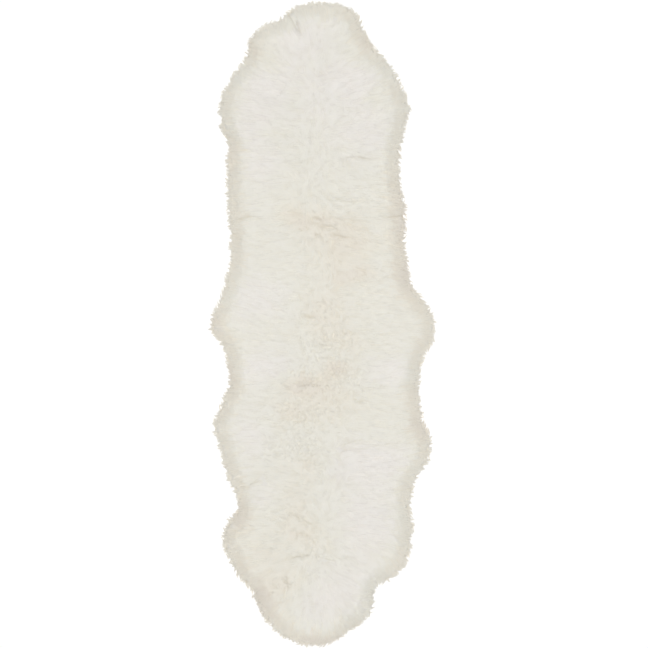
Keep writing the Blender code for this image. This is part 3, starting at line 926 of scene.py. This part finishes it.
def wool_finish():
    """Ivory wool. Across its map it goes from cool white to ochre, up the map from root to tip."""
    finish = Finish("wool")
    place = finish.node("UVMap", {"uv_map": "OFBake"})
    split = finish.node("SeparateXYZ", Vector=finish.value(place).socket)
    tint, along = finish.value(split, 0), finish.value(split, 1)
    stretch = finish.node("VectorMath", {"operation": "MULTIPLY"})
    finish.set(stretch.inputs[0], place.outputs[0])
    finish.set(stretch.inputs[1], STREAKS)
    streak = finish.value(finish.node("TexNoise", {"noise_dimensions": "2D"}, Vector=stretch.outputs[0],
                                      Scale=1.0, Detail=2.0))
    # across the map, the tint holds painted shade along the edge and in partings
    ramp = finish.node("ValToRGB", stops=TINTS, Fac=tint)
    # up the map, a parting's strands sit low, painted as dark as the roots: painted shade
    root = finish.node("ValToRGB", stops=ROOT_DARK, Fac=along)
    shaded = finish.darkened(ramp.outputs[0], root.outputs[0])
    streaked = finish.darkened(shaded, STREAK_DARK, 0.08 * streak)
    finish.give(Base_Color=streaked, Roughness=0.85, Sheen_Weight=0.35, Sheen_Roughness=0.4)
    return finish.material


def undercoat_finish():
    """The short dense wool under the long strands, in the same tints, darkened by painted shade."""
    finish = Finish("undercoat")
    place = finish.node("TexCoord")
    tint = finish.value(finish.node("Attribute", {"attribute_name": "tint"}), 2)
    lumps = finish.node("TexNoise", Vector=place.outputs["Object"], Scale=160.0, Detail=3.0)
    ramp = finish.node("ValToRGB", stops=TINTS, Fac=tint + 0.2 * finish.value(lumps) - 0.2)
    bump = finish.node("Bump", Strength=0.6, Distance=0.002, Height=finish.value(lumps))
    finish.give(Base_Color=finish.darkened(ramp.outputs[0], UNDERCOAT_SHADE), Roughness=0.95,
                Normal=bump.outputs[0], Sheen_Weight=0.2)
    return finish.material


def suede_finish():
    """The hide's underside: pale tanned suede with a fine nap."""
    finish = Finish("suede")
    place = finish.node("TexCoord")
    nap = finish.node("TexNoise", Vector=place.outputs["Object"], Scale=900.0, Detail=4.0)
    cloud = finish.node("TexNoise", Vector=place.outputs["Object"], Scale=9.0, Detail=3.0)
    mixed = finish.value(nap) * 0.4 + finish.value(cloud) * 0.6
    ramp = finish.node("ValToRGB", stops=SUEDE_TINTS, Fac=mixed)
    bump = finish.node("Bump", Strength=0.35, Distance=0.0006, Height=finish.value(nap))
    finish.give(Base_Color=ramp.outputs[0], Roughness=0.9, Normal=bump.outputs[0], Sheen_Weight=0.15)
    return finish.material


def floor_finish():
    """The white floor, which glows a little so that it stays white around the rug."""
    finish = Finish("floor_white")
    finish.give(Base_Color=FLOOR_WHITE, Roughness=0.9, Emission_Color=(1, 1, 1, 1), Emission_Strength=0.22)
    return finish.material


# ---------------------------------------------------------------- pieces
def piece(name, mesh, material):
    thing = bpy.data.objects.new(name, mesh)
    bpy.context.scene.collection.objects.link(thing)
    mesh.materials.clear()
    mesh.materials.append(material)
    return thing


def make_hide(pelt, material):
    """The tanned hide: the foot of the CAD pelt, cut off level."""
    bm = merged_copy(pelt)
    bmesh.ops.bisect_plane(bm, geom=bm.verts[:] + bm.edges[:] + bm.faces[:],
                           plane_co=(0, 0, HIDE_THICKNESS), plane_no=(0, 0, 1), clear_outer=True)
    bmesh.ops.contextual_create(bm, geom=[edge for edge in bm.edges if edge.is_boundary])
    bmesh.ops.recalc_face_normals(bm, faces=bm.faces)
    mesh = bpy.data.meshes.new(pelt + "_hide")
    bm.to_mesh(mesh)
    bm.free()
    return piece(pelt + "_hide", mesh, material)


def make_undercoat(pelt, material):
    """The dense short wool on the hide: the CAD pelt, drawn in below the long wool."""
    bm = merged_copy(pelt)
    bmesh.ops.subdivide_edges(bm, edges=bm.edges[:], cuts=1, use_grid_fill=True)
    bmesh.ops.triangulate(bm, faces=bm.faces[:])
    bm.normal_update()
    floor = HIDE_THICKNESS + LAYER_GAP
    seam = next(corner.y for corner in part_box(pelt) if abs(corner.y - SEAM_ALONG) < 0.001)
    flat = np.array([vert.co for vert in bm.verts])
    inward = np.array([vert.normal for vert in bm.verts]) * [1, 1, 0]
    at_seam = np.abs(flat[:, 1] - seam) < 1e-4
    moved = flat - unit(inward) * np.clip(np.linalg.norm(inward, axis=1), 0, 1)[:, None] * UNDERCOAT_INSET
    moved[at_seam, 1] = SEAM_ALONG
    roof = dome_height(moved) - UNDERCOAT_DEPTH - CURL_DEPTH * standing(moved)
    moved[:, 2] = np.clip(np.minimum(flat[:, 2], roof), floor, None)
    for vert, place in zip(bm.verts, moved):
        vert.co = place
    mesh = bpy.data.meshes.new(pelt + "_undercoat")
    bm.to_mesh(mesh)
    bm.free()
    mesh.shade_smooth()
    mesh.set_sharp_from_angle(angle=math.radians(50))
    # the undercoat's tint holds painted shade along the edge and in partings
    tint = mesh.attributes.new("tint", "FLOAT", "POINT")
    tint.data.foreach_set("value", np.clip(tint_and_shade_at(moved), 0, 1).astype(np.float32))
    return piece(pelt + "_undercoat", mesh, material)


def make_wool(material):
    """The long wool: the staples, crowns over their bald spots, curling locks, and the fringe."""
    rng = np.random.default_rng(SEED)
    roots = staple_roots(STAPLE_SPACING, rng)
    past = rng.normal(-DRAWN_BACK, END_UNEVEN, len(roots)) - notch_at(roots)
    staples = grown(roots, past, STAPLE, rng)
    roots = bald_spots(staples[0], rng)
    crowns = grown(roots, np.zeros(len(roots)), CROWN, rng)
    roots = staple_roots(LOCK_SPACING, rng)
    roots = roots[standing(roots) > LOCK_STANDING]
    locks = grown(roots, np.zeros(len(roots)), LOCK, rng)
    body = [np.concatenate(parts) for parts in zip(staples, crowns, locks)]
    roots, past = fringe_roots(rng)
    fringe = grown(roots, past, TUFT, rng)
    pieces = []
    for wool, bands in ((body, WOOL_BANDS), (fringe, FRINGE_BANDS)):
        points, shades, tint, along = wool
        for band in bands:
            chosen = (along > band.low) & (along <= band.high)
            name = band.pelt + "_" + band.name
            mesh = strand_mesh(name, points[chosen], shades[chosen], tint[chosen])
            pieces.append((band.pelt, piece(name, mesh, material)))
    return pieces


# ---------------------------------------------------------------- stage
def make_floor():
    mesh = bpy.data.meshes.new("floor")
    bm = bmesh.new()
    bmesh.ops.create_circle(bm, cap_ends=True, segments=64, radius=FLOOR_RADIUS)
    bm.to_mesh(mesh)
    bm.free()
    piece("floor", mesh, floor_finish())


def make_light():
    """A weak even light all round, and a narrow soft one from straight above."""
    world = bpy.data.worlds.new("studio")
    bpy.context.scene.world = world
    world.use_nodes = True
    world.node_tree.nodes["Background"].inputs["Color"].default_value = (1, 1, 1, 1)
    world.node_tree.nodes["Background"].inputs["Strength"].default_value = STUDIO_LIGHT
    lamp = bpy.data.lights.new("softbox", "SUN")
    lamp.angle = math.radians(SOFTBOX_ANGLE)
    lamp.energy = SOFTBOX_LIGHT
    lamp_object = bpy.data.objects.new("softbox", lamp)
    lamp_object.location = (0, 0, SOFTBOX_HEIGHT)
    bpy.context.scene.collection.objects.link(lamp_object)


def make_camera():
    """The camera looks straight down and frames the rug as the photo does."""
    camera = bpy.data.cameras.new("camera")
    camera.sensor_width = SENSOR_WIDTH
    camera.lens = SENSOR_WIDTH * CAMERA_DISTANCE / (PHOTO_WIDTH * PIXEL_SIZE)
    camera.clip_end = 100.0
    camera_object = bpy.data.objects.new("camera", camera)
    camera_object.location = (CAMERA_ACROSS, 0.0, CAMERA_DISTANCE + OUTLINE_HEIGHT)
    bpy.context.scene.collection.objects.link(camera_object)
    bpy.context.scene.camera = camera_object


make_floor()
make_light()
make_camera()
bpy.context.scene.view_settings.view_transform = "Standard"
bpy.context.scene.cycles.max_bounces = 16
bpy.context.scene.cycles.diffuse_bounces = 12

wool = wool_finish()
under = undercoat_finish()
suede = suede_finish()
wool_pieces = make_wool(wool)
for pelt in PELTS:
    hide = make_hide(pelt, suede)
    undercoat = make_undercoat(pelt, under)
    on_hide = [undercoat] + [thing for owner, thing in wool_pieces if owner == pelt]
    for thing in [hide] + on_hide:
        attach(thing, "root")
        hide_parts(pelt)
    surface = sum(face.area for face in hide.data.polygons) / 2
